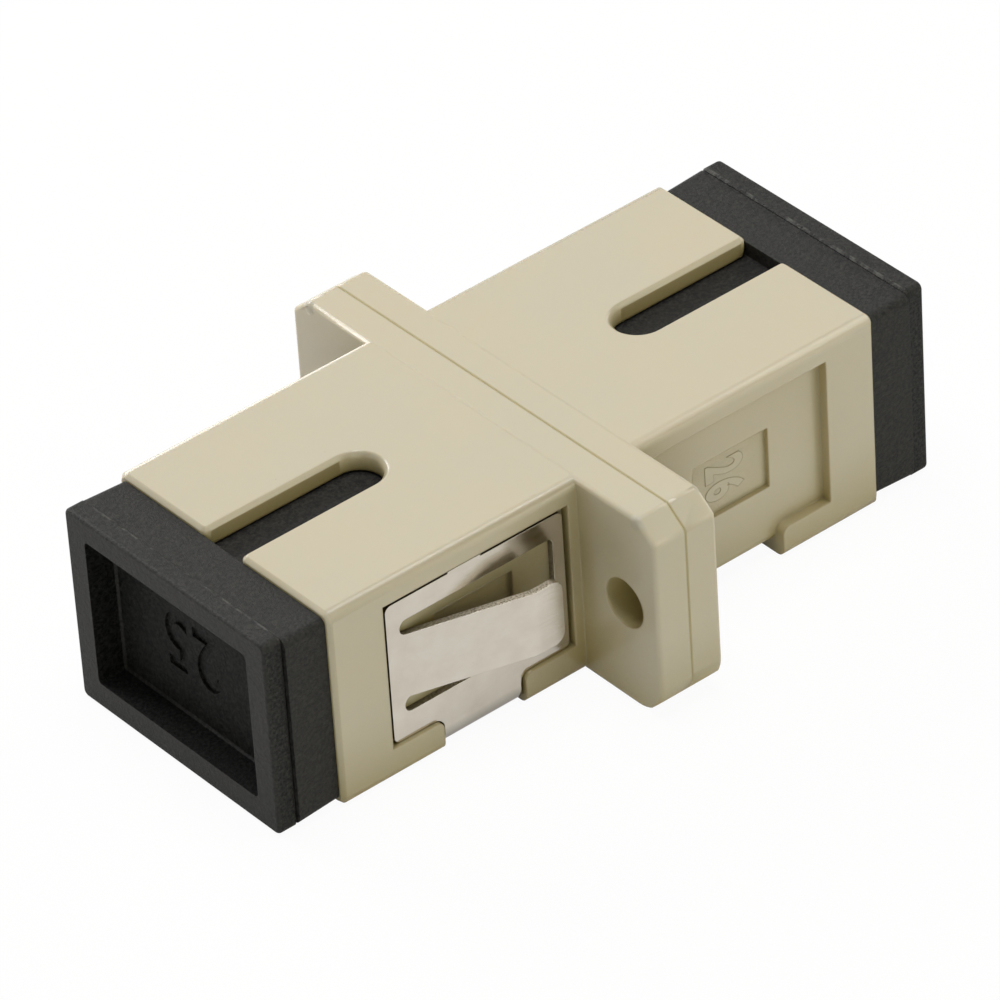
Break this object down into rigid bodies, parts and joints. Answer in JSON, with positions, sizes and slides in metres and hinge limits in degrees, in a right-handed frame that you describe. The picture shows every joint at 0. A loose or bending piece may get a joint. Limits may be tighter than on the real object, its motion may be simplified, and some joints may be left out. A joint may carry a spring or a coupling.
{
  "type": "sc fibre adapter",
  "caption": "Straight coupler for push-pull fibre connectors: rectangular flanged body with keyed ports, folded spring panel clip, inner latches, split sleeve and a dust plug in each port.",
  "frame": {"origin": "point on the optical axis where the two ferrules meet, in the plane of the flange seam", "axes": "+X along the optical axis, away from the panel clip; +Z towards the keyway side; +Y across the flange"},
  "size_m": [0.0336, 0.022, 0.0093],
  "materials": {
    "housing": "satin moulded beige",
    "spring_steel": "satin rolled spring steel",
    "latch_holder": "satin moulded off-white",
    "sleeve": "polished phosphor bronze",
    "dust_plug": "fine textured black"
  },
  "bodies": {
    "adapter": {"housing_front": "housing", "housing_rear": "housing", "panel_clip": "spring_steel", "latch_holder_front": "latch_holder", "latch_holder_rear": "latch_holder", "alignment_sleeve": "sleeve"},
    "front_plug": {"dust_plug_front": "dust_plug"},
    "rear_plug": {"dust_plug_rear": "dust_plug"}
  },
  "joints": [
    {"name": "dust_plug_front_pull", "type": "slide", "parent": "adapter", "child": "front_plug", "axis": [-1, 0, 0], "range_m": [0, 0.02]},
    {"name": "dust_plug_rear_pull", "type": "slide", "parent": "adapter", "child": "rear_plug", "axis": [1, 0, 0], "range_m": [0, 0.02]}
  ]
}
